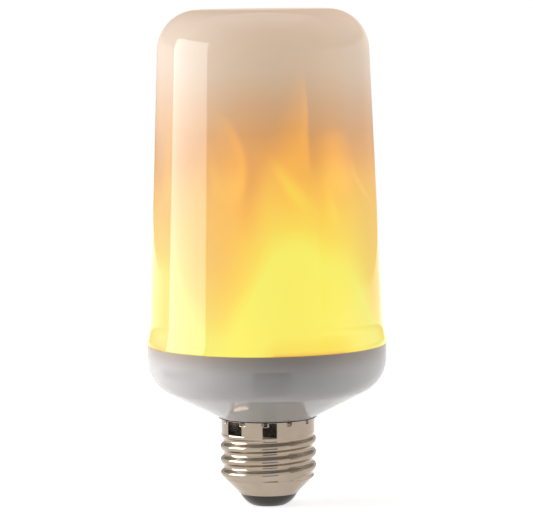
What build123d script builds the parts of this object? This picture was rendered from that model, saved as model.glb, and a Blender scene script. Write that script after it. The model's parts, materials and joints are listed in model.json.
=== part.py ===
"""Flame effect LED lamp: a tall milky cover on a white bowl that narrows to a 27 mm screw cap.

Millimetres, +Z up. The origin is under the centre contact, on the lamp's axis, and the lamp
stands cap down. The parts are drawn from the cap upwards, because each seats on the one below.
"""

import math
import os

from build123d import *

# Centre contact: a pressed rivet, a shallow disc with a bored shank
contact_r = 4.0
contact_thickness = 0.5
contact_crown = 0.12
shank_r = 1.0
shank_length = 6.0
shank_bore_r = 0.45
shank_bore_depth = 3.0

# Cap insulator: a black button moulded into the cap's end
insulator_height = 3.2
insulator_rim = 0.9
insulator_bulge = 0.35
insulator_plug_height = 2.0

# Screw cap of the 27 mm size, rolled from thin plated sheet
crest_r = 13.1
thread_depth = 0.95
pitch = 3.629
crest_land = 0.7
root_land = 0.5
shell_wall = 0.3
shell_height = 21.07
cone_width = 4.25
collar_step = 0.55
collar_height = 4.4
lip_flare = 0.7
lip_height = 0.45
crimp_count = 12
crimp_turn = -93.0
crimp_width = 1.1
crimp_height = 0.9
crimp_depth = 0.5
crimp_drop = 1.07

# Housing: the moulded bowl with its neck and rim
housing_rim_r = 32.5
housing_wall = 2.4
rim_band_height = 3.9
bowl_round = 10.0
cone_angle = 27.0
land_margin = 0.05
land_height = 0.1
neck_rise = 2.15
neck_wall = 1.55
spigot_height = 2.6
boss_r = 3.0
boss_inset = 3.7
boss_count = 3
boss_turn = 30.0
web_thickness = 1.2
web_drop = 3.0

# Diffuser: the moulded cover
diffuser_height = 90.6
diffuser_wall = 1.2
diffuser_taper = 3.3
crown_round = 11.1
flare_step = 1.0
flare_height = 5.0
knee_step = 0.55
knee_height = 4.0
lip_band_height = 1.1

# Driver board and the column that stands on it
board_thickness = 1.6
board_margin = 0.7
column_sides = 9
column_apothem = 17.0
column_wall = 1.5
column_headroom = 13.1
foot_thickness = 1.6
foot_r = 3.5
lid_thickness = 1.6
lid_plug_height = 4.0
flex_thickness = 0.25
flex_margin = 1.0
flex_seam = 0.6
tail_width = 10.0
led_width = 2.8
led_height = 3.5
led_thickness = 0.8
led_last_row = 4.0
led_row_pitch = 6.4
led_first_row = 5.2

# Screws: pan heads on the column's feet
screw_r = 1.05
screw_head_r = 2.3
screw_head_height = 1.5
screw_bite = 5.0

# Electronics: body sizes and where each stands on the board
input_capacitor_r = 4.0
input_capacitor_length = 12.0
output_capacitor_r = 3.15
output_capacitor_length = 8.0
can_groove = 0.4
can_groove_drop = 1.6
choke_flange_r = 3.5
choke_core_r = 2.2
choke_height = 8.0
choke_flange_thickness = 1.2
film_capacitor_size = (10.0, 4.0, 7.0)
rectifier_size = (4.7, 3.9, 2.5)
converter_size = (4.9, 3.9, 1.5)
controller_size = (9.9, 3.9, 1.5)
transistor_size = (2.9, 1.3, 1.0)
resistor_size = (2.0, 1.25, 0.5)
header_size = (9.0, 2.0, 2.0)
header_pins = 9
chip_pin = (0.4, 1.0, 0.2)
chip_pin_pitch = 1.27
lead_r = 0.3
lead_proud = 0.8
stub_drop = 0.5

# Where the electronics stand, on the board's plan
input_capacitor_spot = (4.6, 3.4)
output_capacitor_spot = (-4.0, -7.5)
choke_spot = (-5.5, 7.5)
film_capacitor_spot = (7.5, -6.5)
rectifier_spot = (4.0, 12.5)
converter_spot = (-12.5, -7.0)
controller_gap = 1.35
transistor_spot = (-4.5, 11.0)
transistor_pitch = 3.6
transistor_count = 4
resistor_spot = (-14.0, -14.0)
resistor_pitch = 2.8
resistor_count = 4

# Fusible resistor and the two mains leads
fusible_r = 1.6
fusible_length = 9.0
fusible_bevel = 0.8
fusible_rise = 3.78
live_spot = (3.0, -2.5)
neutral_slot_depth = 0.75
neutral_tuck = 5.0
neutral_loop_drop = 0.9

# Clearances
moulding_clearance = 0.1
hole_clearance = 0.2
thread_hole_clearance = 0.06
seat_clearance = 0.06

# Radii of the cap, from its thread
root_r = crest_r - thread_depth
insulator_r = root_r - cone_width
insulator_flat_r = contact_r + insulator_rim
collar_r = root_r + collar_step
lip_r = collar_r + lip_flare
land_r = lip_r + land_margin

# Levels, from the contact upwards
insulator_z = contact_crown
shell_z = insulator_z + insulator_height
collar_z = shell_z + shell_height - collar_height
housing_z = shell_z + shell_height
land_z = housing_z + land_height
cone_top_z = shell_z + root_r - insulator_r
neck_z = cone_top_z + neck_rise
fusible_z = neck_z + fusible_rise
slope = math.tan(math.radians(cone_angle))
corner_z = land_z + (housing_rim_r - land_r) * slope
round_top_z = corner_z + bowl_round * math.tan(math.radians(45 - cone_angle / 2))
seam_z = round_top_z + rim_band_height
top_z = seam_z + diffuser_height
board_top_z = round_top_z
board_z = board_top_z - board_thickness
column_top_z = top_z - diffuser_wall - column_headroom - lid_thickness

# Radii that follow from the fits
root_inner_r = root_r - shell_wall
collar_inner_r = collar_r - shell_wall
neck_low_r = root_inner_r - moulding_clearance
neck_high_r = collar_inner_r - moulding_clearance
neck_bore_r = neck_low_r - neck_wall
cavity_r = housing_rim_r - housing_wall
board_r = cavity_r - board_margin
boss_circle_r = board_r - boss_inset
lip_bore_r = housing_rim_r - diffuser_wall
spigot_r = lip_bore_r - moulding_clearance
waist_r = housing_rim_r - flare_step
crown_r = waist_r - diffuser_taper
led_apothem = column_apothem + flex_thickness
hole_r = screw_r + hole_clearance
facet_turn = 360 / column_sides
led_room = column_top_z - board_top_z - led_first_row - led_height - led_last_row
led_rows = int(led_room / led_row_pitch) + 1
tail_turn = boss_turn + facet_turn
neutral_r = neck_bore_r - lead_r - moulding_clearance
controller_spot = (controller_size[0] / 2 + lead_r + controller_gap - neutral_r, 0.0)


def turned(corners, rounds=()):
    """Revolve about Z the outline through (radius, height) corners.

    rounds lists (corner, radius) pairs, for the corners that are rounded.
    """
    outline = make_face(Polyline(*corners, close=True))
    for (r, z), radius in rounds:
        corner = outline.vertices().sort_by_distance((r, z, 0))[0]
        outline = fillet(corner, radius)
    return revolve(Plane.XZ * outline, Axis.Z)


def post(radius, bottom, top, x=0.0, y=0.0):
    """A round upright between two heights."""
    return Pos(x, y, bottom) * Cylinder(radius, top - bottom, align=(Align.CENTER, Align.CENTER, Align.MIN))


def block(size, x, y, bottom):
    """A box that stands on a height."""
    return Pos(x, y, bottom) * Box(*size, align=(Align.CENTER, Align.CENTER, Align.MIN))


def prism(apothem, bottom, top):
    """The column's regular many-sided outline, with a flat side facing each boss."""
    sketch = RegularPolygon(apothem, column_sides, major_radius=False, rotation=boss_turn + facet_turn / 2)
    return Pos(0, 0, bottom) * extrude(sketch, top - bottom)


def around(count, first=0.0):
    """Turns about Z, evenly spaced."""
    return [Rot(0, 0, first + 360 * i / count) for i in range(count)]


def group(*solids):
    """Several separate solids that share one node."""
    return Compound(children=[s for item in solids for s in item.solids()])


def wire(points, radii):
    """A round wire along straight runs joined by tangent arcs."""
    path = FilletPolyline(*points, radius=radii)
    start = Plane(path @ 0, z_dir=path % 0)
    return sweep(start * Circle(lead_r), path=path)


def centre_contact():
    """A shallow domed disc with a shank that goes up through the insulator."""
    disc_z = contact_crown + contact_thickness
    top = disc_z + shank_length
    return turned(
        [
            (0, 0),
            (contact_r, contact_crown),
            (contact_r, disc_z),
            (shank_r, disc_z),
            (shank_r, top),
            (shank_bore_r, top),
            (shank_bore_r, top - shank_bore_depth),
            (0, top - shank_bore_depth),
        ]
    )


def cap_insulator():
    """A button with a bulged flank, whose plug follows the inside of the cap's cone."""
    seat_r = insulator_r - shell_wall * math.sqrt(2) - seat_clearance
    flank = SagittaArc((insulator_flat_r, insulator_z), (insulator_r, shell_z), -insulator_bulge)
    rest = Polyline(
        (insulator_r, shell_z),
        (seat_r, shell_z),
        (seat_r + insulator_plug_height, shell_z + insulator_plug_height),
        (shank_r + seat_clearance, shell_z + insulator_plug_height),
        (shank_r + seat_clearance, insulator_z + contact_thickness),
        (contact_r + seat_clearance, insulator_z + contact_thickness),
        (contact_r + seat_clearance, insulator_z),
        (insulator_flat_r, insulator_z),
    )
    return revolve(Plane.XZ * make_face([flank, *rest.edges()]), Axis.Z)


def cap_shell():
    """The rolled shell: a 45 degree cone, the thread, a collar with punched crimps and a flared lip.

    The thread is drawn as rings with the real thread's section, pitch and diameters.
    """
    depth = crest_r - root_r
    flank = (pitch - crest_land - root_land) / 2
    thread_end_z = collar_z - (collar_r - root_r)
    ring_count = int((thread_end_z - cone_top_z) / pitch)
    outside = [(insulator_r, shell_z), (root_r, cone_top_z)]
    for i in range(ring_count):
        z = thread_end_z - (ring_count - i) * pitch + root_land / 2
        outside += [
            (root_r, z),
            (crest_r, z + flank),
            (crest_r, z + flank + crest_land),
            (root_r, z + 2 * flank + crest_land),
        ]
    outside += [
        (root_r, thread_end_z),
        (collar_r, collar_z),
        (collar_r, housing_z - lip_height),
        (lip_r, housing_z - shell_wall),
        (lip_r, housing_z),
    ]
    cone_inset = shell_wall * math.sqrt(2)
    inside = [
        (lip_r - shell_wall, housing_z),
        (collar_inner_r, housing_z - lip_height),
        (collar_inner_r, collar_z + shell_wall),
        (root_inner_r, thread_end_z + shell_wall),
        (root_inner_r, cone_top_z + cone_inset - shell_wall),
        (insulator_r - cone_inset, shell_z),
    ]
    shell = turned(outside + inside)
    crimp_z = housing_z - crimp_drop - crimp_height / 2
    bump_size = (crimp_depth + shell_wall / 2, crimp_width + 2 * shell_wall, crimp_height + 2 * shell_wall)
    bump_r = collar_r - shell_wall / 2 - bump_size[0] / 2
    bump = block(bump_size, bump_r, 0, crimp_z - shell_wall)
    dent = block((2 * crimp_depth, crimp_width, crimp_height), collar_r, 0, crimp_z)
    for turn in around(crimp_count, crimp_turn):
        shell = shell + turn * bump - turn * dent
    return shell


def housing():
    """One moulding: the neck inside the cap, the cone, the bowl and the spigot that the cover sits over."""
    cone_wall = housing_wall / math.cos(math.radians(cone_angle))
    inner_corner_z = corner_z - housing_wall * slope + cone_wall
    throat_z = land_z + (neck_bore_r - land_r) * slope + cone_wall
    spigot_z = seam_z + spigot_height
    step_z = collar_z + shell_wall + moulding_clearance
    groove_r = collar_r - crimp_depth - shell_wall - moulding_clearance
    groove_z = housing_z - crimp_drop - crimp_height / 2 - shell_wall - moulding_clearance
    outer = (housing_rim_r, corner_z)
    inner = (cavity_r, inner_corner_z)
    blank = turned(
        [
            (0, neck_z),
            (neck_low_r, neck_z),
            (neck_low_r, step_z - collar_r + root_r),
            (neck_high_r, step_z),
            (neck_high_r, groove_z),
            (groove_r, groove_z),
            (groove_r, housing_z),
            (land_r, housing_z),
            (land_r, land_z),
            outer,
            (housing_rim_r, seam_z),
            (spigot_r, seam_z),
            (spigot_r, spigot_z),
            (0, spigot_z),
        ],
        rounds=[(outer, bowl_round)],
    )
    cavity = turned(
        [
            (0, neck_z - 1),
            (neck_bore_r, neck_z - 1),
            (neck_bore_r, throat_z),
            inner,
            (cavity_r, spigot_z + 1),
            (0, spigot_z + 1),
        ],
        rounds=[(inner, bowl_round - housing_wall)],
    )
    web_top = board_z - web_drop
    web_length = housing_rim_r - boss_circle_r
    for turn in around(boss_count, boss_turn):
        cavity -= turn * post(boss_r, housing_z, board_z, boss_circle_r)
        web = block((web_length, web_thickness, web_top - housing_z), boss_circle_r + web_length / 2, 0, housing_z)
        cavity -= turn * web
    body = blank - cavity
    for turn in around(boss_count, boss_turn):
        body -= turn * post(screw_r + thread_hole_clearance, board_z - screw_bite - 1, board_z, boss_circle_r)
    slot_depth_r = root_inner_r - neutral_slot_depth
    slot = block((2, 2 * lead_r + 2 * hole_clearance, neutral_tuck + 1), -slot_depth_r - 1, 0, neck_z - 1)
    return body - slot


def diffuser():
    """The cover: a flat crown with a large round, a slight taper and a lip that flares over the spigot."""
    crown = (crown_r, top_z)
    inner_crown = (crown_r - diffuser_wall, top_z - diffuser_wall)
    return turned(
        [
            (0, top_z),
            crown,
            (waist_r, seam_z + flare_height),
            (housing_rim_r - knee_step, seam_z + knee_height),
            (housing_rim_r, seam_z + lip_band_height),
            (housing_rim_r, seam_z),
            (lip_bore_r, seam_z),
            (lip_bore_r, seam_z + spigot_height + moulding_clearance),
            (waist_r - diffuser_wall, seam_z + flare_height + diffuser_wall),
            inner_crown,
            (0, top_z - diffuser_wall),
        ],
        rounds=[(crown, crown_round), (inner_crown, crown_round - diffuser_wall)],
    )


def lead_holes():
    """Where each through-hole lead comes up through the driver board."""
    places = []
    for spot, spacing in (
        (input_capacitor_spot, input_capacitor_r),
        (output_capacitor_spot, output_capacitor_r),
        (choke_spot, choke_flange_r),
        (film_capacitor_spot, film_capacitor_size[0] / 2),
    ):
        places += [(spot[0] - spacing / 2, spot[1]), (spot[0] + spacing / 2, spot[1])]
    return places + [live_spot, (-neutral_r, 0)]


def driver_board():
    """A round board with its screw holes and lead holes."""
    board = post(board_r, board_z, board_top_z)
    for turn in around(boss_count, boss_turn):
        board -= turn * post(hole_r, board_z - 1, board_top_z + 1, boss_circle_r)
    for x, y in lead_holes():
        board -= post(lead_r + hole_clearance, board_z - 1, board_top_z + 1, x, y)
    return board


def led_column():
    """The many-sided tube, with a screwed foot towards each boss."""
    foot_top = board_top_z + foot_thickness
    column = prism(column_apothem, board_top_z, column_top_z)
    reach = boss_circle_r - column_apothem + column_wall
    for turn in around(boss_count, boss_turn):
        bar = block((reach, 2 * foot_r, foot_thickness), boss_circle_r - reach / 2, 0, board_top_z)
        column += turn * bar
        column += turn * post(foot_r, board_top_z, foot_top, boss_circle_r)
    for turn in around(boss_count, boss_turn):
        column -= turn * post(hole_r, board_top_z - 1, foot_top + 1, boss_circle_r)
    return column - prism(column_apothem - column_wall, board_top_z - 1, column_top_z + 1)


def column_lid():
    """A lid with a plug that goes down inside the tube."""
    plug = column_apothem - column_wall - moulding_clearance
    lid = prism(column_apothem + flex_thickness, column_top_z, column_top_z + lid_thickness)
    lid += prism(plug, column_top_z - lid_plug_height, column_top_z)
    return lid - prism(plug - column_wall, column_top_z - lid_plug_height - 1, column_top_z)


def flex_circuit():
    """The wrapped circuit: one turn round the sides, open at a corner, with a tail down to the board."""
    bottom = board_top_z + foot_thickness + flex_margin
    top = column_top_z - flex_margin
    wrap = prism(led_apothem, bottom, top) - prism(column_apothem, bottom - 1, top + 1)
    seam = block((4, flex_seam, top - bottom + 2), led_apothem, 0, bottom - 1)
    wrap -= Rot(0, 0, boss_turn + facet_turn / 2) * seam
    tail = block(
        (flex_thickness, tail_width, bottom - board_top_z),
        column_apothem + flex_thickness / 2,
        0,
        board_top_z,
    )
    return wrap + Rot(0, 0, tail_turn) * tail


def flame_leds():
    """Rows of small packages up the column, one on the middle of every side."""
    package = block((led_thickness, led_width, led_height), led_apothem + led_thickness / 2, 0, 0)
    first_z = board_top_z + led_first_row
    return group(
        *(
            Pos(0, 0, first_z + row * led_row_pitch) * (turn * package)
            for row in range(led_rows)
            for turn in around(column_sides, boss_turn)
        )
    )


def board_screws():
    """Pan head screws through the feet and the board into the bosses."""
    seat = board_top_z + foot_thickness
    screw = turned(
        [
            (0, board_z - screw_bite),
            (screw_r, board_z - screw_bite),
            (screw_r, seat),
            (screw_head_r, seat),
            (screw_head_r, seat + screw_head_height / 2),
            (screw_head_r / 2, seat + screw_head_height),
            (0, seat + screw_head_height),
        ]
    )
    return group(*(turn * (Pos(boss_circle_r, 0, 0) * screw) for turn in around(boss_count, boss_turn)))


def two_leads(spot, spacing, body_top):
    """A hanging component's two leads, up through the board."""
    x, y = spot
    top = board_top_z + lead_proud
    return post(lead_r, body_top, top, x - spacing / 2, y) + post(lead_r, body_top, top, x + spacing / 2, y)


def can_capacitor(spot, radius, length):
    """An electrolytic can with a rolled groove near its seal, hanging from the board."""
    top = board_z - stub_drop
    groove_z = top - can_groove_drop
    can = turned(
        [
            (0, top - length),
            (radius, top - length),
            (radius, groove_z - can_groove),
            (radius - can_groove, groove_z),
            (radius, groove_z + can_groove),
            (radius, top),
            (0, top),
        ]
    )
    return Pos(*spot, 0) * can + two_leads(spot, radius, top)


def choke():
    """A drum core: a waist of windings between two flanges."""
    top = board_z - stub_drop
    bottom = top - choke_height
    drum = turned(
        [
            (0, bottom),
            (choke_flange_r, bottom),
            (choke_flange_r, bottom + choke_flange_thickness),
            (choke_core_r, bottom + choke_flange_thickness),
            (choke_core_r, top - choke_flange_thickness),
            (choke_flange_r, top - choke_flange_thickness),
            (choke_flange_r, top),
            (0, top),
        ]
    )
    return Pos(*choke_spot, 0) * drum + two_leads(choke_spot, choke_flange_r, top)


def film_capacitor():
    """A boxed capacitor, hanging from the board."""
    length, width, height = film_capacitor_size
    top = board_z - stub_drop
    body = block(film_capacitor_size, *film_capacitor_spot, top - height)
    return body + two_leads(film_capacitor_spot, length / 2, top)


def chip(size, pins_a_side, x, y, side):
    """A moulded package whose pins rest on the board; side is 1 on top and -1 underneath."""
    length, width, height = size
    pin_width, pin_length, pin_thickness = chip_pin
    face = board_top_z if side > 0 else board_z
    body_low = face if side > 0 else face - height
    pin_low = face if side > 0 else face - pin_thickness
    body = block(size, x, y, body_low)
    for i in range(pins_a_side):
        px = x + (i - (pins_a_side - 1) / 2) * chip_pin_pitch
        for way in (1, -1):
            py = y + way * (width + pin_length) / 2
            body += block((pin_width, pin_length, pin_thickness), px, py, pin_low)
    return body


def bridge_rectifier():
    """Four pins, underneath the board."""
    return chip(rectifier_size, 2, *rectifier_spot, -1)


def converter_chip():
    """Eight pins, underneath the board."""
    return chip(converter_size, 4, *converter_spot, -1)


def flame_controller():
    """Fourteen pins, on top of the board inside the column."""
    return chip(controller_size, 7, *controller_spot, 1)


def row_transistors():
    """A line of small switches beside the controller."""
    x, y = transistor_spot
    places = [x + i * transistor_pitch for i in range(transistor_count)]
    return group(*(block(transistor_size, place, y, board_top_z) for place in places))


def board_resistors():
    """A line of small resistors underneath the board."""
    x, y = resistor_spot
    places = [x + i * resistor_pitch for i in range(resistor_count)]
    bottom = board_z - resistor_size[2]
    return group(*(block(resistor_size, place, y, bottom) for place in places))


def flex_header():
    """The bar whose feet join the circuit's tail to the board."""
    length, width, height = header_size
    pin_width, pin_length, pin_thickness = chip_pin
    bar = block((width, length, height), led_apothem + width / 2, 0, board_top_z)
    pin_x = led_apothem + width + pin_length / 2
    for i in range(header_pins):
        y = (i - (header_pins - 1) / 2) * length / header_pins
        bar += block((pin_length, pin_width, pin_thickness), pin_x, y, board_top_z)
    return Rot(0, 0, tail_turn) * bar


def fusible_resistor():
    """The resistor's body, upright in the neck, with the bevelled ends of its coating."""
    top = fusible_z + fusible_length
    shoulder = fusible_r - fusible_bevel
    return turned(
        [
            (0, fusible_z),
            (shoulder, fusible_z),
            (fusible_r, fusible_z + fusible_bevel),
            (fusible_r, top - fusible_bevel),
            (shoulder, top),
            (0, top),
        ]
    )


def live_lead_low():
    """From the bottom of the contact's bored shank to the resistor."""
    bore_bottom = contact_crown + contact_thickness + shank_length - shank_bore_depth
    return post(lead_r, bore_bottom, fusible_z)


def live_lead_high():
    """From the resistor's top, across to its hole in the driver board."""
    start = fusible_z + fusible_length
    end = board_top_z + lead_proud
    rise = (end - start) / 3
    points = [(0, 0, start), (0, 0, start + rise), (*live_spot, end - rise), (*live_spot, end)]
    return wire(points, [rise, rise])


def neutral_lead():
    """Down the neck, round its bottom edge and up its slot, where it bears on the shell."""
    outer_r = root_inner_r - lead_r - seat_clearance
    low = neck_z - neutral_loop_drop
    gap = outer_r - neutral_r
    points = [
        (-neutral_r, 0, board_top_z + lead_proud),
        (-neutral_r, 0, low),
        (-outer_r, 0, low),
        (-outer_r, 0, neck_z + neutral_tuck - hole_clearance),
    ]
    return wire(points, [gap * 0.48, gap * 0.48])


parts = {
    "centre_contact": centre_contact(),
    "cap_insulator": cap_insulator(),
    "cap_shell": cap_shell(),
    "housing": housing(),
    "diffuser": diffuser(),
    "driver_board": driver_board(),
    "led_column": led_column(),
    "column_lid": column_lid(),
    "flex_circuit": flex_circuit(),
    "flame_leds": flame_leds(),
    "board_screws": board_screws(),
    "input_capacitor": can_capacitor(input_capacitor_spot, input_capacitor_r, input_capacitor_length),
    "output_capacitor": can_capacitor(output_capacitor_spot, output_capacitor_r, output_capacitor_length),
    "choke": choke(),
    "film_capacitor": film_capacitor(),
    "bridge_rectifier": bridge_rectifier(),
    "converter_chip": converter_chip(),
    "flame_controller": flame_controller(),
    "row_transistors": row_transistors(),
    "board_resistors": board_resistors(),
    "flex_header": flex_header(),
    "fusible_resistor": fusible_resistor(),
    "live_lead_low": live_lead_low(),
    "live_lead_high": live_lead_high(),
    "neutral_lead": neutral_lead(),
}

os.makedirs("parts", exist_ok=True)
for name, solid in parts.items():
    export_step(solid, f"parts/{name}.step")
    print(name, round(solid.volume, 1))
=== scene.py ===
# %% [markdown]
# # A flame effect lamp
# This lesson dresses a lamp whose parts are already in place. The lamp has a tall milky cover that glows
# like a fire, a white bowl that holds the boards, and a plated screw cap. Light inside plays on the
# cover, so the picture of the fire is a matter of colour and glow, while the bowl and the cap live from
# what they mirror. The frame is loaded first: its parts carry the true sizes, and everything made later
# is placed from them.

# %% Load the parts
import json
import math

import bmesh
import bpy
import numpy as np
from mathutils import Euler, Matrix, Vector


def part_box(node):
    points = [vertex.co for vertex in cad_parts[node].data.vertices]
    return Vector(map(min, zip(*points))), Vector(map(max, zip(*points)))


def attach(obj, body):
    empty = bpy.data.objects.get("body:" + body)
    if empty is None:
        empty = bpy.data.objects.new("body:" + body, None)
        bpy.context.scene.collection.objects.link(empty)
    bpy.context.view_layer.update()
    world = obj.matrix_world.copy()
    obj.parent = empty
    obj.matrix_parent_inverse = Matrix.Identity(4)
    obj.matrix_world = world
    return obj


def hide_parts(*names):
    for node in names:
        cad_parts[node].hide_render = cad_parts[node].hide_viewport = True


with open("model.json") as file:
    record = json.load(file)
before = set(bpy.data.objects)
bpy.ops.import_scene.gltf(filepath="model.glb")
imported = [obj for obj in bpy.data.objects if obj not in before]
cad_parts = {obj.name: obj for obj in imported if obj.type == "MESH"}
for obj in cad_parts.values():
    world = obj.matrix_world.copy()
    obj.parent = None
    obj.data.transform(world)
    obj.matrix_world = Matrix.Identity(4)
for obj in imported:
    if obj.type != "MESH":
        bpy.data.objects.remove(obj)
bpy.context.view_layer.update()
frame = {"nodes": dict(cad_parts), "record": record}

# %% [markdown]
# ## Sizes
# Levels and widths come from the boxes of the parts. Only what a box can't tell, such as a wall or the
# round of an edge, is written here as a number, in millimetres.

# %% Read the levels
mm = 0.001
cover_low, cover_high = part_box("diffuser")
cap_low, cap_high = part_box("cap_shell")
seam_z, crown_z = cover_low.z, cover_high.z
rim_r = cover_high.x
cap_z, cap_top_z = cap_low.z, cap_high.z
cover_height = crown_z - seam_z
print(f"cover {cover_height / mm:.1f} mm tall and {2 * rim_r / mm:.1f} mm across its rim")
print(f"cap from {cap_z / mm:.2f} to {cap_top_z / mm:.2f} mm")

# %% [markdown]
# ## Turned surfaces
# Every outside piece of this lamp was made round: blown, moulded or spun. Such a piece is one profile
# carried round the axis, so it is worked out as a grid of points with one row for each point of the
# profile.
# Corners get a small arc, because a real edge always has one and it is what catches the light.


# %% Profiles
def run(start, end, spacing):
    """Points at equal steps from start to end: start + t * (end - start)."""
    count = max(2, int(np.ceil(np.linalg.norm(end - start) / spacing)) + 1)
    return start + np.linspace(0, 1, count)[:, None] * (end - start)


def rounded(corners, radii, spacing=1.0 * mm, steps=8):
    """A profile through corners, each inner one replaced by an arc of its radius.

    The arc touches both runs at radius * tan(turn / 2) from the corner. Its centre is one radius to the
    side that the profile turns to, and the arc's points are the first one turned about that centre.
    """
    corners = np.asarray(corners, float)
    parts, last = [], corners[0]
    for before, corner, after, radius in zip(corners, corners[1:], corners[2:], radii):
        into = (corner - before) / np.linalg.norm(corner - before)
        away = (after - corner) / np.linalg.norm(after - corner)
        turn = math.atan2(into[0] * away[1] - into[1] * away[0], into @ away)
        first = corner - into * radius * math.tan(abs(turn) / 2)
        spoke = np.array([into[1], -into[0]]) * radius * np.sign(turn)
        angles = np.linspace(0, turn, steps)[:, None]
        side = np.array([-spoke[1], spoke[0]])
        arc = first - spoke + spoke * np.cos(angles) + side * np.sin(angles)
        parts += [run(last, first, spacing)[:-1], arc[:-1]]
        last = arc[-1]
    return np.concatenate(parts + [run(last, corners[-1], spacing)])


# %% [markdown]
# A grid of points becomes a mesh in whole arrays: numpy numbers the points, and each face takes its four
# corners from the grid and from the grid shifted by one row or one column. Where a profile starts or ends
# on the axis, a whole row of points coincides. Those points are merged into one pole, so that the skin is
# closed and every face has a true outside.

# %% Faces that point outwards
merge_distance = 0.0002 * mm


def close_mesh(mesh):
    """Merges the points that coincide at a pole, and turns every face outwards."""
    work = bmesh.new()
    work.from_mesh(mesh)
    bmesh.ops.remove_doubles(work, verts=work.verts, dist=merge_distance)
    bmesh.ops.recalc_face_normals(work, faces=work.faces)
    work.to_mesh(mesh)
    work.free()
    mesh.shade_smooth()


# %% Skins
columns = 256


def turned(profile, count=columns):
    """A grid of points: x = r cos a, y = r sin a and z, for each (r, z) of the profile and each angle."""
    angles = np.linspace(0, 2 * np.pi, count, endpoint=False)
    radius, height = profile[:, 0, None], profile[:, 1, None]
    return np.stack([radius * np.cos(angles), radius * np.sin(angles), height + 0 * angles], axis=2)


def skin(name, grid, loop=False):
    """A mesh from a grid of points, whose columns join up round the axis.

    With loop the last row joins the first, which closes a wall. Otherwise both end rows lie on the axis,
    and each becomes one point.
    """
    points = grid.reshape(-1, 3)
    index = np.arange(len(points)).reshape(grid.shape[:2])
    low, high = (index, np.roll(index, -1, axis=0)) if loop else (index[:-1], index[1:])
    corners = [low, np.roll(low, -1, axis=1), np.roll(high, -1, axis=1), high]
    faces = np.stack(corners, axis=2).reshape(-1, 4)
    mesh = bpy.data.meshes.new(name)
    mesh.vertices.add(len(points))
    mesh.vertices.foreach_set("co", points.astype(np.float32).ravel())
    mesh.loops.add(faces.size)
    mesh.loops.foreach_set("vertex_index", faces.astype(np.int32).ravel())
    mesh.polygons.add(len(faces))
    mesh.polygons.foreach_set("loop_start", np.arange(0, faces.size, 4, dtype=np.int32))
    mesh.update(calc_edges=True)
    close_mesh(mesh)
    piece = bpy.data.objects.new(name, mesh)
    bpy.context.scene.collection.objects.link(piece)
    print(name, len(mesh.vertices), "points", len(mesh.polygons), "faces")
    return piece


# %% [markdown]
# ## Shader arithmetic
# A finish is a formula over the surface. To write it as one, a small class wraps a socket, and Python's own
# operators on it add Math nodes. Any other node comes from its one method `node`.


# %% Sockets as numbers
class Wire:
    """An output socket of a material's nodes, for use in sums."""

    def __init__(self, tree, socket=None):
        self.tree, self.socket = tree, socket

    def node(self, kind, settings=None, values=None, output=0):
        """Adds a node: its settings first, then the values or links of its sockets. Gives one output."""
        made = self.tree.nodes.new(kind)
        for name, value in (settings or {}).items():
            if name == "stops":
                spread_stops(made.color_ramp, value)
            else:
                setattr(made, name, value)
        for name, value in (values or {}).items():
            if isinstance(value, Wire):
                self.tree.links.new(value.socket, made.inputs[name])
            else:
                made.inputs[name].default_value = value
        return Wire(self.tree, made.outputs[output])

    def maths(self, operation, *others, clamp=False):
        """A Math node on this wire and the other operands."""
        settings = {"operation": operation, "use_clamp": clamp}
        return self.node("ShaderNodeMath", settings, dict(enumerate((self, *others))))

    def __add__(self, other):
        return self.maths("ADD", other)

    def __radd__(self, other):
        return self.maths("ADD", other)

    def __sub__(self, other):
        return self.maths("SUBTRACT", other)

    def __rsub__(self, other):
        return (self * -1).maths("ADD", other)

    def __mul__(self, other):
        return self.maths("MULTIPLY", other)

    def __rmul__(self, other):
        return self.maths("MULTIPLY", other)

    def __truediv__(self, other):
        return self.maths("DIVIDE", other)

    def __neg__(self):
        return self * -1

    def __abs__(self):
        return self.maths("ABSOLUTE")

    def __pow__(self, other):
        return self.maths("POWER", other)


def spread_stops(ramp, stops):
    """Sets a ramp's stops from (place, colour) pairs."""
    while len(ramp.elements) < len(stops):
        ramp.elements.new(1.0)
    for element, (place, colour) in zip(ramp.elements, stops):
        element.position = place
        element.color = (*colour, 1.0)


# %% [markdown]
# Most finishes are built from the same few moves: a soft step from one level to another, a blend of two
# colours, a colour made darker, and cloudy noise that bends a colour, a gloss or a surface.

# %% Shader helpers
def rising(wire, low, high):
    """0 below low, 1 above high, and an S-shaped rise between."""
    settings = {"interpolation_type": "SMOOTHSTEP"}
    return wire.node("ShaderNodeMapRange", settings, {"Value": wire, "From Min": low, "From Max": high})


def blend(factor, low, high):
    """The colour low where factor is 0 and high where it is 1."""
    low, high = (c if isinstance(c, Wire) else (*c, 1.0) for c in (low, high))
    values = {0: factor, 6: low, 7: high}
    return factor.node("ShaderNodeMix", {"data_type": "RGBA", "blend_type": "MIX"}, values, output=2)


def shaded(colour, level):
    """A colour with its brightness multiplied by level."""
    values = {0: colour, "Scale": level}
    return colour.node("ShaderNodeVectorMath", {"operation": "SCALE"}, values)


def noise(place, scale, detail=3.0, roughness=0.5):
    """Cloudy noise from 0 to 1."""
    values = {"Vector": place, "Scale": scale, "Detail": detail, "Roughness": roughness}
    return place.node("ShaderNodeTexNoise", {}, values)


def stretched(place, x, y, z):
    """The place with each axis scaled."""
    return place.node("ShaderNodeVectorMath", {"operation": "MULTIPLY"}, {0: place, 1: (x, y, z)})


def grain(height, distance, strength=1.0):
    """A bump of that depth in metres."""
    return height.node("ShaderNodeBump", {}, {"Height": height, "Distance": distance, "Strength": strength})


# %% [markdown]
# Every finish is one Principled material. What is the same all over it is set on the sockets as a number.
# What changes over the surface comes from a formula on the place in the object's own coordinates, so that
# a pattern stays with its piece.

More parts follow.
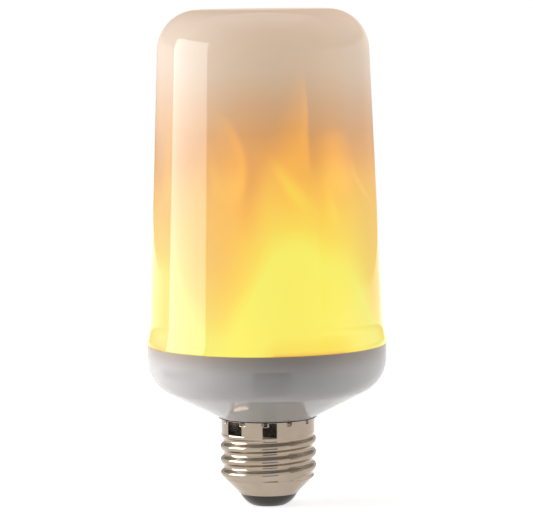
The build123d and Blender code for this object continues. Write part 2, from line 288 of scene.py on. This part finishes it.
# %% Finishes
def finish(name, formula, **constants):
    """A new Principled material.

    The constants go on its sockets, and formula(place) gives the sockets that vary.
    """
    material = bpy.data.materials.new(name)
    material.use_nodes = True
    tree = material.node_tree
    shader = tree.nodes["Principled BSDF"]
    for socket, value in constants.items():
        shader.inputs[socket.replace("_", " ")].default_value = value
    place = Wire(tree).node("ShaderNodeTexCoord", output="Object")
    varying = formula(place)
    for socket, value in varying.items():
        tree.links.new(value.socket, shader.inputs[socket])
    print(name, "with", len(tree.nodes), "nodes, varying in", ", ".join(varying))
    return material


def axes(place):
    """The three coordinates of a place."""
    return [place.node("ShaderNodeSeparateXYZ", {}, {0: place}, output=i) for i in range(3)]


def dress(piece, material, slot=None):
    """Gives a piece its material, and with a slot hangs a new piece from the root body."""
    piece.data.materials.clear()
    piece.data.materials.append(material)
    if slot:
        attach(piece, "root")


# %% [markdown]
# ## The cover
# The cover is one blow moulded cup of milky plastic, upside down: a flat crown with a large round, walls
# that lean in a little, and a lip that flares out to the width of the bowl. It is a closed wall, outside
# and inside, with its two ends on the axis.

# %% Cover surface
cover_wall = 1.2 * mm
crown_round = 11.1 * mm
taper = 3.3 * mm
waist_r = rim_r - 1.0 * mm
crown_r = waist_r - taper
bore_r = rim_r - cover_wall

cover_corners = [
    (0, crown_z),
    (crown_r, crown_z),
    (waist_r, seam_z + 5.4 * mm),
    (rim_r, seam_z + 0.9 * mm),
    (rim_r, seam_z),
    (bore_r, seam_z),
    (bore_r, seam_z + 2.7 * mm),
    (waist_r - cover_wall, seam_z + 6.2 * mm),
    (crown_r - cover_wall, crown_z - cover_wall),
    (0, crown_z - cover_wall),
]
cover_rounds = [crown_round, 14 * mm, 7 * mm, 0.2 * mm, 0.1 * mm, 1 * mm, 2 * mm, crown_round - cover_wall]
cover_profile = rounded(cover_corners, cover_rounds, spacing=1.5 * mm, steps=14)
cover = skin("flame_cover", turned(cover_profile))
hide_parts("diffuser")

# %% [markdown]
# ## The fire
# Rows of small lamps behind the cover flicker upwards, and the milky wall blurs them into a fire: lemon
# yellow at the foot, then gold and orange, and above it the cover's own colour, as if seen through smoke.
# One ramp holds these colours by height. The milky wall lets about half of the room's light through, and
# shows both the fire behind it and what it reflects. So each stop has two colours: how the cover looks
# there from the dim front, and the tint of its surface. The glow is the look less the room's share: glow
# = look - front_light * surface.

# %% Fire colours
front_light = 0.20
wall_white = 0.56
fire_stops = [
    (0.000, (0.780, 0.440, 0.060), (0.85, 0.68, 0.44)),
    (0.010, (0.930, 0.700, 0.080), (0.85, 0.70, 0.40)),
    (0.060, (0.925, 0.810, 0.110), (0.84, 0.70, 0.38)),
    (0.250, (0.905, 0.830, 0.110), (0.83, 0.68, 0.40)),
    (0.330, (0.920, 0.680, 0.075), (0.80, 0.64, 0.44)),
    (0.430, (0.925, 0.560, 0.065), (0.78, 0.62, 0.46)),
    (0.500, (0.900, 0.470, 0.065), (0.77, 0.62, 0.46)),
    (0.570, (0.770, 0.350, 0.068), (0.75, 0.63, 0.47)),
    (0.640, (0.630, 0.305, 0.098), (0.74, 0.65, 0.52)),
    (0.720, (0.580, 0.340, 0.175), (0.74, 0.68, 0.60)),
    (0.820, (0.585, 0.430, 0.295), (0.74, 0.70, 0.66)),
    (1.000, (0.620, 0.465, 0.350), (0.76, 0.73, 0.70)),
]
surface_ramp = [(level, tuple(wall_white * b for b in surface)) for level, look, surface in fire_stops]
glow_ramp = [
    (level, tuple(max(0.0, a - front_light * wall_white * b) for a, b in zip(look, surface)))
    for level, look, surface in fire_stops
]

# %% [markdown]
# A tongue of fire is a place where the ramp is left behind. Each has a ridge line that rises from its
# root to its tip, and falls off softly to its left and right, more tightly towards the tip. On its ridge
# a tongue adds orange light, and it can also lift the ramp's hotter colours up. A negative lift is a
# cooler gap.
# Tongues are named by their angle round the lamp, in degrees, with 0 at the front and + to the right.


# %% Tongues of fire
def rising_line(level, low, high):
    """0 at low and 1 at high, in a straight line, and no further."""
    return ((level - low) / (high - low)).maths("ADD", 0.0, clamp=True)


def tongue(angle, level, root, tip, left, right, bow=0.0, foot=0.3, fall=0.45, taper=0.6):
    """How strong a tongue is, from 0 to 1.

    With t = 0 at the root and 1 at the tip, the ridge is at root + t (tip - root) + bow 4 t (1 - t). Away
    from it the strength eases to 0 over left or right times (1 - taper t). It fades in over the foot and
    out from fall to the tip.
    """
    (root_angle, root_level), (tip_angle, tip_level) = root, tip
    t = rising_line(level, root_level, tip_level)
    ridge = root_angle + t * (tip_angle - root_angle) + bow * 4 * t * (1 - t)
    away = (angle - ridge).maths("WRAP", -180.0, 180.0) / (1 - taper * t)
    across = rising(away, -left, 0.0) * (1 - rising(away, 0.0, right))
    return across * rising(t, 0.0, foot) * (1 - rising(t, fall, 1.0))


# Each tongue has its shape, the heat it lifts and the orange light it adds
tongues = {
    "tall": {
        "shape": dict(root=(22, 0.50), tip=(22.5, 0.86), left=34, right=3, foot=0.25, fall=0.55, taper=0.9),
        "lift": 0.02,
        "orange": 0.12,
    },
    "tip": {
        "shape": dict(root=(19, 0.56), tip=(22, 0.84), left=5, right=3, bow=1, fall=0.4),
        "lift": 0.0,
        "orange": 0.07,
    },
    "streak": {
        "shape": dict(root=(26, 0.38), tip=(1, 0.59), left=9, right=12, bow=-1, foot=0.5, fall=0.5),
        "lift": 0.09,
        "orange": 0.0,
    },
    "ring": {
        "shape": dict(root=(-17, 0.42), tip=(-25, 0.72), left=6, right=4, bow=9, fall=0.7, taper=0.2),
        "lift": 0.02,
        "orange": 0.09,
    },
    "ring_inside": {
        "shape": dict(root=(-19, 0.42), tip=(-26, 0.72), left=12, right=12, bow=4, fall=0.75, taper=0.3),
        "lift": 0.0,
        "orange": 0.06,
    },
    "ring_left": {
        "shape": dict(root=(-21, 0.42), tip=(-31, 0.69), left=4, right=6, bow=-3, taper=0.2),
        "lift": 0.01,
        "orange": 0.05,
    },
    "left_gap": {
        "shape": dict(root=(-26, -0.10), tip=(-20, 0.60), left=38, right=30, foot=0.01, fall=0.4, taper=0.1),
        "lift": -0.22,
        "orange": 0.0,
    },
    "left_cool": {
        "shape": dict(root=(-66, 0.15), tip=(-66, 0.75), left=30, right=28, fall=0.6, taper=0.0),
        "lift": -0.06,
        "orange": 0.0,
    },
    "middle_gap": {
        "shape": dict(root=(-8, 0.30), tip=(-8, 0.64), left=10, right=10, fall=0.5, taper=0.0),
        "lift": -0.05,
        "orange": 0.0,
    },
    "right_gap": {
        "shape": dict(root=(80, -0.10), tip=(80, 0.50), left=44, right=30, foot=0.01, fall=0.3, taper=0),
        "lift": -0.26,
        "orange": 0.0,
    },
    "dome": {
        "shape": dict(root=(14, 0.10), tip=(15, 0.46), left=26, right=26, fall=0.5, taper=0.3),
        "lift": 0.07,
        "orange": 0.0,
    },
    "right_mass": {
        "shape": dict(root=(43, 0.44), tip=(38, 0.67), left=17, right=15, fall=0.8, taper=0.1),
        "lift": 0.02,
        "orange": 0.1,
    },
    "right_arc": {
        "shape": dict(root=(72, 0.42), tip=(50, 0.58), left=5, right=4, bow=-5),
        "lift": 0.03,
        "orange": 0.08,
    },
    "small": {
        "shape": dict(root=(39, 0.36), tip=(33, 0.50), left=7, right=6),
        "lift": 0.04,
        "orange": 0.0,
    },
    "left_edge": {
        "shape": dict(root=(-62, 0.38), tip=(-56, 0.74), left=14, right=16, fall=0.6),
        "lift": 0.03,
        "orange": 0.12,
    },
    "left_back": {
        "shape": dict(root=(-95, 0.36), tip=(-88, 0.80), left=14, right=8, bow=4),
        "lift": 0.06,
        "orange": 0.16,
    },
    "back_one": {
        "shape": dict(root=(-130, 0.38), tip=(-137, 0.92), left=6, right=18, bow=-5),
        "lift": 0.05,
        "orange": 0.18,
    },
    "back_two": {
        "shape": dict(root=(-160, 0.34), tip=(-150, 0.62), left=8, right=6, bow=4),
        "lift": 0.1,
        "orange": 0.08,
    },
    "back_three": {
        "shape": dict(root=(172, 0.38), tip=(176, 0.84), left=17, right=6, bow=-4),
        "lift": 0.05,
        "orange": 0.17,
    },
    "back_four": {
        "shape": dict(root=(144, 0.34), tip=(134, 0.60), left=6, right=9, bow=5),
        "lift": 0.1,
        "orange": 0.08,
    },
    "right_back": {
        "shape": dict(root=(112, 0.38), tip=(118, 0.88), left=20, right=6, bow=-4),
        "lift": 0.05,
        "orange": 0.17,
    },
    "right_side": {
        "shape": dict(root=(90, 0.34), tip=(84, 0.60), left=9, right=7),
        "lift": 0.05,
        "orange": 0.1,
    },
}
orange_light = (1.0, 0.46, 0.0)
print(len(tongues), "tongues and gaps")

# %% [markdown]
# The fire is now one formula. Noise makes the tongues waver and the ramp uneven. Then the tongues shift
# the ramp and add their orange, and the result is a little smoky. To the left and to the right of the
# front the glow is turned down: painted shade, where the soft boxes already light the cover.


# %% The fire as a finish
def fire_places(place):
    """The angle round the lamp in degrees, and the height up the cover from 0 to 1."""
    x, y, z = axes(place)
    angle = x.maths("ARCTAN2", -y) * (180 / math.pi)
    return angle, (z - seam_z) / cover_height


def fire(place):
    """The milky cover's surface and glow."""
    angle, level = fire_places(place)
    streaks = noise(stretched(place, 1, 1, 0.3), 55.0, 2.0)
    puffs = noise(place, 28.0, 2.0)
    licking = rising(level, 0.25, 0.45) * (1 - rising(level, 0.7, 0.95))
    waving = angle + (puffs - 0.5) * 7.0
    heat = level - (streaks - 0.5) * 0.07 * licking - (puffs - 0.5) * 0.06 * licking
    light = (streaks - 0.5) * 0.08 * licking
    for lick in tongues.values():
        strength = tongue(waving, level, **lick["shape"])
        heat = heat - strength * lick["lift"]
        light = light + strength * lick["orange"]
    surface = place.node("ShaderNodeValToRGB", {"stops": surface_ramp}, {0: heat})
    glow = place.node("ShaderNodeValToRGB", {"stops": glow_ramp}, {0: heat})
    added = place.node("ShaderNodeVectorMath", {"operation": "SCALE"}, {0: orange_light, "Scale": light})
    glow = place.node("ShaderNodeVectorMath", {"operation": "ADD"}, {0: glow, 1: added})
    burning = 1 - rising(heat, 0.55, 0.72)
    turned_away = abs(angle)
    sides = (1 - rising(turned_away, 110.0, 165.0)) * (1 - rising(level, 0.86, 0.97))
    # Painted shade: the glow is turned down left and right of the front, where the soft boxes already light
    # the cover.
    left_painted_shade = (1 - rising(angle, -50.0, -10.0)) * burning * sides
    right_painted_shade = rising(angle, 30.0, 70.0) * sides
    smoke = 0.97 + 0.06 * noise(place, 20.0, 1.0)
    return {
        "Base Color": surface,
        "Emission Color": shaded(glow, smoke * (1 - 0.32 * left_painted_shade) * (1 - 0.22 * right_painted_shade)),
    }


lit_cover = finish("milky_cover", fire, Roughness=0.06, IOR=1.42, Emission_Strength=1.0)
dress(cover, lit_cover, "milky_cover")

# %% [markdown]
# ## The screw cap
# The cap is thin brass sheet, rolled and nickel plated. Its thread is a true helix: round the cap the
# crest climbs one pitch a turn. So the surface is a height field, where the radius depends on the angle
# and the height. The section of the thread is two arcs, one at the crest and one at the root, with a
# straight flank between. At its foot the thread runs out on a cone, and at its top it fades into the
# plain collar.

# %% Thread
crest_r, root_r = 13.1 * mm, 12.15 * mm
pitch = 3.629 * mm
thread_arc = 1.025 * mm
flank_angle = math.radians(44)
collar_r = 12.7 * mm
insulator_r = 7.9 * mm
crest_start_z = 12.5 * mm
fade_low_z, fade_high_z = 18.4 * mm, 20.2 * mm


def ease(t):
    """An S-shaped rise from 0 to 1: 3 t^2 - 2 t^3, with t kept between 0 and 1."""
    t = np.clip(t, 0, 1)
    return t * t * (3 - 2 * t)


def thread_radius(angle, height):
    """The radius of the rolled thread.

    x is the distance along the axis from the nearest crest, at most half a pitch. Near the crest the
    radius falls on an arc, near the root it rises on one, and between them it falls in a straight line.
    """
    crest = crest_start_z + pitch * (angle / (2 * np.pi) - 0.5)
    x = np.abs((height - crest + pitch / 2) % pitch - pitch / 2)
    reach = thread_arc * math.sin(flank_angle)
    top = crest_r - thread_arc + np.sqrt(np.maximum(thread_arc**2 - x**2, 0))
    bottom = root_r + thread_arc - np.sqrt(np.maximum(thread_arc**2 - (pitch / 2 - x) ** 2, 0))
    at_top = crest_r - thread_arc * (1 - math.cos(flank_angle))
    at_bottom = root_r + thread_arc * (1 - math.cos(flank_angle))
    along = np.clip((x - reach) / (pitch / 2 - 2 * reach), 0, 1)
    flank = at_top + (at_bottom - at_top) * along
    return np.where(x < reach, top, np.where(x > pitch / 2 - reach, bottom, flank))


# %% [markdown]
# Twelve crimps hold the cap on the bowl's neck. A punch pushes the sheet into a groove behind it, so each
# is a small square dent with soft edges, which the finish paints dark as painted shade.

# %% Crimps
crimp_count = 12
crimp_turn = math.radians(-93)
crimp_width, crimp_height, crimp_depth = 1.1 * mm, 0.95 * mm, 0.5 * mm
crimp_z = cap_top_z - 0.9 * mm


def crimp_dent(angle, height):
    """How deep the punched crimps are.

    The depth is full inside a small box round each crimp, and eases to nothing at the box's edge.
    """
    step = 2 * np.pi / crimp_count
    across = np.abs((angle - crimp_turn + step / 2) % step - step / 2) * collar_r / (crimp_width / 2)
    up = np.abs(height - crimp_z) / (crimp_height / 2)
    return crimp_depth * ease((1.3 - across) / 0.6) * ease((1.25 - up) / 0.5)


# %% [markdown]
# The outside of the cap is a grid over the angle and the height, finest where the thread and the crimps
# are. A lip is turned at its top, and the inside is a plain profile, so the sheet has its real thickness.
# The last row joins the first, and the wall is closed. The depth of the crimps is kept as an attribute,
# for the finish to paint shade in them.

# %% Cap surface
cap_columns = 360
cap_wall = 0.3 * mm
run_out = 0.12 * mm
bead_height = 0.16 * mm


def cap_radius(angle, height):
    """The outside of the cap.

    It is the thread, faded into the collar above and cut by the cone below, less the crimps. A small bead
    rounds the foot of the cone, where the sheet is rolled over the button.
    """
    fade = ease((fade_high_z - height) / (fade_high_z - fade_low_z))
    wall = collar_r + (thread_radius(angle, height) - collar_r) * fade
    cone = insulator_r + (height - cap_z)
    gap = (wall - cone) / run_out
    bead = bead_height * np.exp(-(((height - cap_z - bead_height) / (1.5 * bead_height)) ** 2))
    return wall - run_out * np.logaddexp(0, gap) + bead - crimp_dent(angle, height)


lip_r = 13.4 * mm
lip_z = cap_top_z - 0.45 * mm
cap_angles = np.linspace(0, 2 * np.pi, cap_columns, endpoint=False)[None, :]
cap_heights = np.concatenate(
    [
        np.linspace(cap_z, cap_z + 0.8 * mm, 12, endpoint=False),
        np.linspace(cap_z + 0.8 * mm, 9 * mm, 26, endpoint=False),
        np.linspace(9 * mm, 22.4 * mm, 100, endpoint=False),
        np.linspace(22.4 * mm, lip_z, 16),
    ]
)[:, None]
cap_outside = cap_radius(cap_angles, cap_heights)
cap_grid = np.stack(
    [
        cap_outside * np.cos(cap_angles),
        cap_outside * np.sin(cap_angles),
        cap_heights + 0 * cap_angles,
    ],
    axis=2,
)
lip_corners = [
    (collar_r, lip_z),
    (lip_r, lip_z + 0.15 * mm),
    (lip_r, cap_top_z),
    (lip_r - cap_wall, cap_top_z),
    (collar_r - cap_wall, lip_z),
    (collar_r - cap_wall, 20.1 * mm),
    (root_r - cap_wall, 19.5 * mm),
    (root_r - cap_wall, cap_z + root_r - insulator_r),
    (insulator_r - 1.4 * cap_wall, cap_z),
]
lip_rounds = [0.1 * mm, 0.1 * mm, 0.1 * mm, 0.2 * mm, 0.3 * mm, 0.3 * mm, 0.5 * mm]
lip_profile = rounded(lip_corners, lip_rounds, spacing=1.0 * mm, steps=4)[1:]
cap = skin("screw_cap", np.concatenate([cap_grid, turned(lip_profile, cap_columns)]), loop=True)
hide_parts("cap_shell")

cap_points = np.empty(3 * len(cap.data.vertices))
cap.data.vertices.foreach_get("co", cap_points)
cap_points = cap_points.reshape(-1, 3)
cap_turns = np.arctan2(cap_points[:, 1], cap_points[:, 0])
dents = crimp_dent(cap_turns, cap_points[:, 2]) / crimp_depth
cap.data.attributes.new("dent", "FLOAT", "POINT").data.foreach_set("value", dents.astype(np.float32))
print("deepest crimp", crimp_depth / mm, "mm, dented points", int((dents > 0.5).sum()))


# %% [markdown]
# Nickel is a warm grey mirror. Handling leaves it a little cloudy, so its roughness wanders, and the
# rolling leaves fine lines that run round it. Noise squeezed along the axis gives those lines, and a
# shallow bump lets them break the reflections. The edge of the lip and the dents are painted dark and
# rougher: painted shade, for the shadow gap under the bowl and the shade in the punched dents.


# %% Plated finish
def plated(place):
    """Nickel with cloudy patches and fine rolling lines."""
    clouds = noise(place, 160.0, 3.0)
    lines = noise(stretched(place, 1, 1, 18), 220.0, 2.0)
    return {
        "Base Color": blend(clouds, (0.34, 0.275, 0.21), (0.47, 0.39, 0.31)),
        "Roughness": 0.03 + 0.10 * clouds,
        "Normal": grain(lines, 0.01 * mm, 0.3),
    }


def plated_with_painted_shade(place):
    """The nickel of the cap, with painted shade on the edge of its lip and in its crimps."""
    sockets = plated(place)
    dent = place.node("ShaderNodeAttribute", {"attribute_name": "dent"}, output="Fac")
    height = axes(place)[2]
    # Painted shade: the lip's edge and the crimp dents are painted near black, for the shadow gap under the
    # bowl and the shade in the dents.
    lip_painted_shade = rising(height, lip_z, lip_z + 0.12 * mm)
    painted_shade_mask = dent.maths("MAXIMUM", lip_painted_shade)
    sockets["Base Color"] = blend(painted_shade_mask, sockets["Base Color"], (0.05, 0.04, 0.035))
    sockets["Roughness"] = sockets["Roughness"] + 0.3 * painted_shade_mask
    return sockets


plated_metal = finish("plated_metal", plated, Metallic=1.0)
plated_cap = finish("plated_cap", plated_with_painted_shade, Metallic=1.0)
dress(cap, plated_cap, "plated_cap")

# %% [markdown]
# ## The bowl
# The bowl is a glossy white moulding, and its form is already right in the part itself, so it only needs
# a finish. It has no pattern, only the slight unevenness of a moulded surface, which bends the
# reflections a little. Its top few millimetres under the seam are painted darker and warmer: painted
# shade, tinted as a painted reflection of the burning cover.


# %% Moulded white
def moulded(low, high, swirl=30.0, depth=0.02 * mm):
    """A formula for moulded plastic: two close tones in slow swirls, and a shallow unevenness."""

    def formula(place):
        clouds = noise(place, swirl, 2.0)
        fine = noise(place, 900.0, 2.0)
        return {
            "Base Color": blend(clouds, low, high),
            "Normal": grain(fine, depth, 0.15),
        }

    return formula


def painted_rim_shade_and_reflection(place):
    """Moulded white, painted darker and warmer in the top few millimetres: painted shade and a painted
    reflection of the cover.
    """
    sockets = moulded((0.83, 0.81, 0.80), (0.87, 0.85, 0.84))(place)
    # Painted shade and painted reflection: the top few millimetres under the seam are darker and tinted
    # warm, as from the burning cover.
    rim = rising(axes(place)[2], seam_z - 6.0 * mm, seam_z + 0.5 * mm)
    sockets["Base Color"] = blend(rim, sockets["Base Color"], (0.62, 0.52, 0.46))
    return sockets


white_housing = finish("white_housing", painted_rim_shade_and_reflection, Roughness=0.09, IOR=1.5)
dress(frame["nodes"]["housing"], white_housing)

# %% [markdown]
# ## Button and contact
# Below the cap a black glassy button keeps the contact disc apart from the shell. It is dark all over, so
# what is seen of it is its gloss, and a slightly warm one.

# %% Button and contact finishes
black_button = finish(
    "black_button",
    moulded((0.022, 0.018, 0.013), (0.032, 0.026, 0.020), 200.0),
    Roughness=0.14,
    IOR=1.5,
    Specular_Tint=(1.0, 0.94, 0.86, 1.0),
)
dress(frame["nodes"]["cap_insulator"], black_button)
dress(frame["nodes"]["centre_contact"], plated_metal)

# %% [markdown]
# ## Inside
# The pieces inside don't show while the lamp is closed, but each has its own finish all the same. They
# are plastics, resins and coatings, which differ in their two tones, the scale of their swirls and their
# gloss. So one table and one loop make them.

# %% Inner finishes
# For each: its two tones, the scale of its swirls and its roughness
plastics = {
    "board_laminate": ((0.02, 0.13, 0.06), (0.04, 0.19, 0.09), 240.0, 0.4),
    "column_plastic": ((0.80, 0.80, 0.77), (0.86, 0.86, 0.84), 30.0, 0.5),
    "flex_film": ((0.78, 0.78, 0.74), (0.88, 0.88, 0.85), 120.0, 0.45),
    "can_sleeve": ((0.02, 0.025, 0.06), (0.04, 0.05, 0.10), 150.0, 0.3),
    "choke_windings": ((0.08, 0.06, 0.05), (0.16, 0.13, 0.11), 400.0, 0.5),
    "film_box": ((0.75, 0.30, 0.03), (0.85, 0.38, 0.05), 150.0, 0.35),
    "chip_resin": ((0.02, 0.02, 0.022), (0.04, 0.04, 0.042), 500.0, 0.55),
    "header_plastic": ((0.03, 0.03, 0.03), (0.05, 0.05, 0.05), 300.0, 0.5),
    "resistor_coat": ((0.05, 0.16, 0.12), (0.08, 0.22, 0.16), 300.0, 0.3),
}
inner = {
    name: finish(name, moulded(low, high, swirl), Roughness=roughness)
    for name, (low, high, swirl, roughness) in plastics.items()
}
inner["led_package"] = finish(
    "led_package",
    moulded((0.92, 0.62, 0.12), (0.95, 0.80, 0.30), 300.0),
    Roughness=0.35,
    Emission_Color=(1.0, 0.55, 0.12, 1.0),
    Emission_Strength=1.0,
)
for name in ("screw_steel", "tinned_wire"):
    inner[name] = finish(name, plated, Metallic=1.0)

for subpart in frame["record"]["subparts"]:
    if subpart["material_slot"] in inner:
        dress(frame["nodes"][subpart["node"]], inner[subpart["material_slot"]])

# %% [markdown]
# ## The studio
# A floor, two soft boxes on the left, one on the right and one above. The left box is near and bright: it
# draws the tall bright band on the cover and lights the left of the bowl. The box behind it and the
# weaker one on the right light the lamp but don't show in its mirrors. Between them the front stays dim,
# which is what lets the fire show.


# %% Soft boxes
def area_light(name, width, height, brightness):
    """A rectangular light of power brightness * pi * area, so that brightness is what a mirror shows."""
    light = bpy.data.lights.new(name, "AREA")
    light.shape, light.size, light.size_y = "RECTANGLE", width, height
    light.energy = brightness * math.pi * width * height
    lamp = bpy.data.objects.new(name, light)
    bpy.context.scene.collection.objects.link(lamp)
    print(name, f"{light.energy:.2f} W")
    return lamp


def soft_box(name, bearing, distance, low, high, width, brightness):
    """An upright light that faces the lamp from a bearing, in degrees, 0 at the front and + to the right."""
    turn = math.radians(bearing)
    away = Vector((distance * math.sin(turn), -distance * math.cos(turn), 0))
    lamp = area_light(name, width, high - low, brightness)
    lamp.location = away + Vector((0, 0, (low + high) / 2))
    lamp.rotation_euler = (-away).to_track_quat("-Z", "Y").to_euler()
    return lamp


soft_box("left_box", bearing=-85.5, distance=0.5, low=0.0, high=0.33, width=0.455, brightness=4.8)
back_box = soft_box(
    "left_back_box",
    bearing=-126,
    distance=1.0,
    low=0.0,
    high=0.48,
    width=0.52,
    brightness=1.5,
)
right_box = soft_box("right_box", bearing=95, distance=1.1, low=0.0, high=0.60, width=1.5, brightness=2.4)
back_box.visible_glossy = right_box.visible_glossy = False

top_box = area_light("top_box", width=0.8, height=0.8, brightness=0.6)
top_box.location = (0, 0, 1.1)

# %% [markdown]
# Metal shows nothing but its surroundings, so a photographer puts cards round it for contrast. Two black
# ones lie on the floor, under the left box and in front, and a pale blue one stands in front.
# All of them are seen in reflections alone: they cast no shadow and hide nothing.


# %% Cards
def card(name, corners, glow=(0, 0, 0)):
    """A flat sheet through four corners, seen only in mirrors."""
    mesh = bpy.data.meshes.new(name)
    mesh.from_pydata(corners, [], [(0, 1, 2, 3)])
    sheet = bpy.data.objects.new(name, mesh)
    paint = bpy.data.materials.new(name)
    paint.use_nodes = True
    shader = paint.node_tree.nodes["Principled BSDF"]
    shader.inputs["Base Color"].default_value = (0.01, 0.01, 0.01, 1)
    shader.inputs["Specular IOR Level"].default_value = 0.0
    shader.inputs["Emission Color"].default_value = (*glow, 1)
    shader.inputs["Emission Strength"].default_value = 1.0
    mesh.materials.append(paint)
    sheet.visible_camera = sheet.visible_diffuse = sheet.visible_shadow = False
    bpy.context.scene.collection.objects.link(sheet)
    print(name, "seen in mirrors only")
    return sheet


def on_floor(bearing, distance, height=0.0005):
    """A point at a distance from the lamp on a bearing in degrees, 0 at the front and + to the right."""
    turn = math.radians(bearing)
    return (distance * math.sin(turn), -distance * math.cos(turn), height)


def lying_card(name, left, right, near, far):
    """A card on the floor between two bearings and two distances.

    It is black beyond 12 cm and paler towards the lamp.
    """
    corners = [on_floor(left, near), on_floor(left, far), on_floor(right, far), on_floor(right, near)]
    tree = card(name, corners).data.materials[0].node_tree
    x, y, _ = axes(Wire(tree).node("ShaderNodeTexCoord", output="Object"))
    paleness = 0.45 * (1 - rising(x * x + y * y, 0.05**2, 0.12**2))
    glow = blend(paleness, (0, 0, 0), (1, 1, 1))
    tree.links.new(glow.socket, tree.nodes["Principled BSDF"].inputs["Emission Color"])


lying_card("front_floor_card", left=-13, right=21, near=0.030, far=0.21)
lying_card("left_floor_card", left=-113, right=-66, near=0.10, far=0.20)


# %% [markdown]
# A glossy wall mirrors most where it turns away from the eye, so the cover's edges show what stands
# beside and behind it. Three tall pale cards stand there and fade towards the back: they draw the soft
# edges of the cover, where the bare white room would leave hard bright rims.

# %% Tall cards
tall_distance, tall_top = 1.2, 1.3
dim_tint, bright_tint = (1.0, 0.93, 0.88), (1.0, 0.98, 0.96)


def upright_card(name, dim, bright, low, high, power):
    """A card that stands on the floor and fades from one bearing to another.

    With t = 0 at the dim end and 1 at the bright end, the glow is low + (high - low) t ** power. It is
    dimmed near the floor, as under a table's edge, and above the lamp, so that the flat crown stays apart
    from the background.
    """
    feet = [on_floor(bearing, tall_distance, 0.0) for bearing in (dim, bright)]
    heads = [on_floor(bearing, tall_distance, tall_top) for bearing in (bright, dim)]
    tree = card(name, feet + heads).data.materials[0].node_tree
    _, y, z = axes(Wire(tree).node("ShaderNodeTexCoord", output="Object"))
    t = rising_line(y, feet[0][1], feet[1][1])
    below = 0.45 + 0.55 * rising(z, 0.03, 0.13)
    above = 1 - 0.6 * rising(z, 0.18, 0.34)
    level = (low + (high - low) * t**power) * below * above
    glow = shaded(blend(t, dim_tint, bright_tint), level)
    tree.links.new(glow.socket, tree.nodes["Principled BSDF"].inputs["Emission Color"])


upright_card("left_card", dim=180, bright=-113, low=0.35, high=1.9, power=1.8)
upright_card("right_card", dim=55, bright=100, low=1.0, high=1.7, power=1.0)
upright_card("right_back_card", dim=180, bright=100, low=0.35, high=1.7, power=1.0)

front_distance, front_top = 0.5, 0.25
front_left, front_right = -12, 21
front_corners = [
    on_floor(front_left, front_distance, 0.0),
    on_floor(front_right, front_distance, 0.0),
    on_floor(front_right, front_distance, front_top),
    on_floor(front_left, front_distance, front_top),
]
card("front_card", front_corners, glow=(0.80, 1.00, 1.25))

# %% [markdown]
# The floor is a plain pale sheet. To the camera and to mirrors it adds just enough of its own white to
# merge with the white background, while its shading still takes the lamp's soft shadow. The same test of
# the ray lights the world: white where it is seen, and dim where it only lights things.


# %% Floor
def seen_or_mirrored(tree):
    """1 for what the camera sees, in a mirror or through glass too, and 0 for what only lights things."""
    rays = ("Is Camera Ray", "Is Glossy Ray", "Is Transmission Ray")
    seen, mirrored, through = (Wire(tree).node("ShaderNodeLightPath", output=ray) for ray in rays)
    return (seen + mirrored + through).maths("MINIMUM", 1.0)


floor_mesh = bpy.data.meshes.new("floor")
floor_mesh.from_pydata([(-4, -4, 0), (4, -4, 0), (4, 4, 0), (-4, 4, 0)], [], [(0, 1, 2, 3)])
floor = bpy.data.objects.new("floor", floor_mesh)
bpy.context.scene.collection.objects.link(floor)

floor_white = bpy.data.materials.new("floor_white")
floor_white.use_nodes = True
floor_tree = floor_white.node_tree
floor_shader = floor_tree.nodes["Principled BSDF"]
floor_shader.inputs["Roughness"].default_value = 0.9
floor_shader.inputs["Specular IOR Level"].default_value = 0.0
floor_shader.inputs["Emission Strength"].default_value = 1.0
floor_x, floor_y, _ = axes(Wire(floor_tree).node("ShaderNodeTexCoord", output="Object"))
outward = rising(floor_x * floor_x + floor_y * floor_y, 0.003, 0.030)
own_white = blend(seen_or_mirrored(floor_tree) * (0.76 + 0.24 * outward), (0, 0, 0), (1, 1, 1))
floor_tree.links.new(own_white.socket, floor_shader.inputs["Emission Color"])
pale = blend(outward, (0.80, 0.80, 0.80), (0.24, 0.24, 0.24))
floor_tree.links.new(pale.socket, floor_shader.inputs["Base Color"])
floor_mesh.materials.append(floor_white)
print("floor", floor.dimensions[:])

# %% World
world = bpy.data.worlds.new("studio")
world.use_nodes = True
bpy.context.scene.world = world
world_tree = world.node_tree
ambient = 0.03
room = blend(seen_or_mirrored(world_tree), (ambient, ambient, ambient), (1, 1, 1))
world_tree.links.new(room.socket, world_tree.nodes["Background"].inputs["Color"])
print("the room lights things with", ambient, "of the white that is seen")

# %% [markdown]
# ## Camera
# The picture looks as if taken from 85 cm away with a long lens, from a little above the lamp's middle
# and slightly tilted. The lens is given by its focal length in pixels, for a picture 533 pixels wide, and
# turned into millimetres on a sensor 36 mm wide.

# %% Camera
camera_data = bpy.data.cameras.new("camera")
camera = bpy.data.objects.new("camera", camera_data)
focal_pixels, frame_width = 3146, 533
camera_data.sensor_width = 36
camera_data.lens = 36 * focal_pixels / frame_width
camera_data.clip_start = 0.05
pitch_down, roll = math.radians(5.167), math.radians(-0.75)
camera.matrix_world = (
    Matrix.Translation((0.0002, -0.850, 0.1447))
    @ Euler((math.pi / 2 - pitch_down, 0, 0)).to_matrix().to_4x4()
    @ Matrix.Rotation(roll, 4, "Z")
)
bpy.context.scene.collection.objects.link(camera)
bpy.context.scene.camera = camera
bpy.context.scene.view_settings.view_transform = "Standard"
print(f"lens {camera_data.lens:.1f} mm")
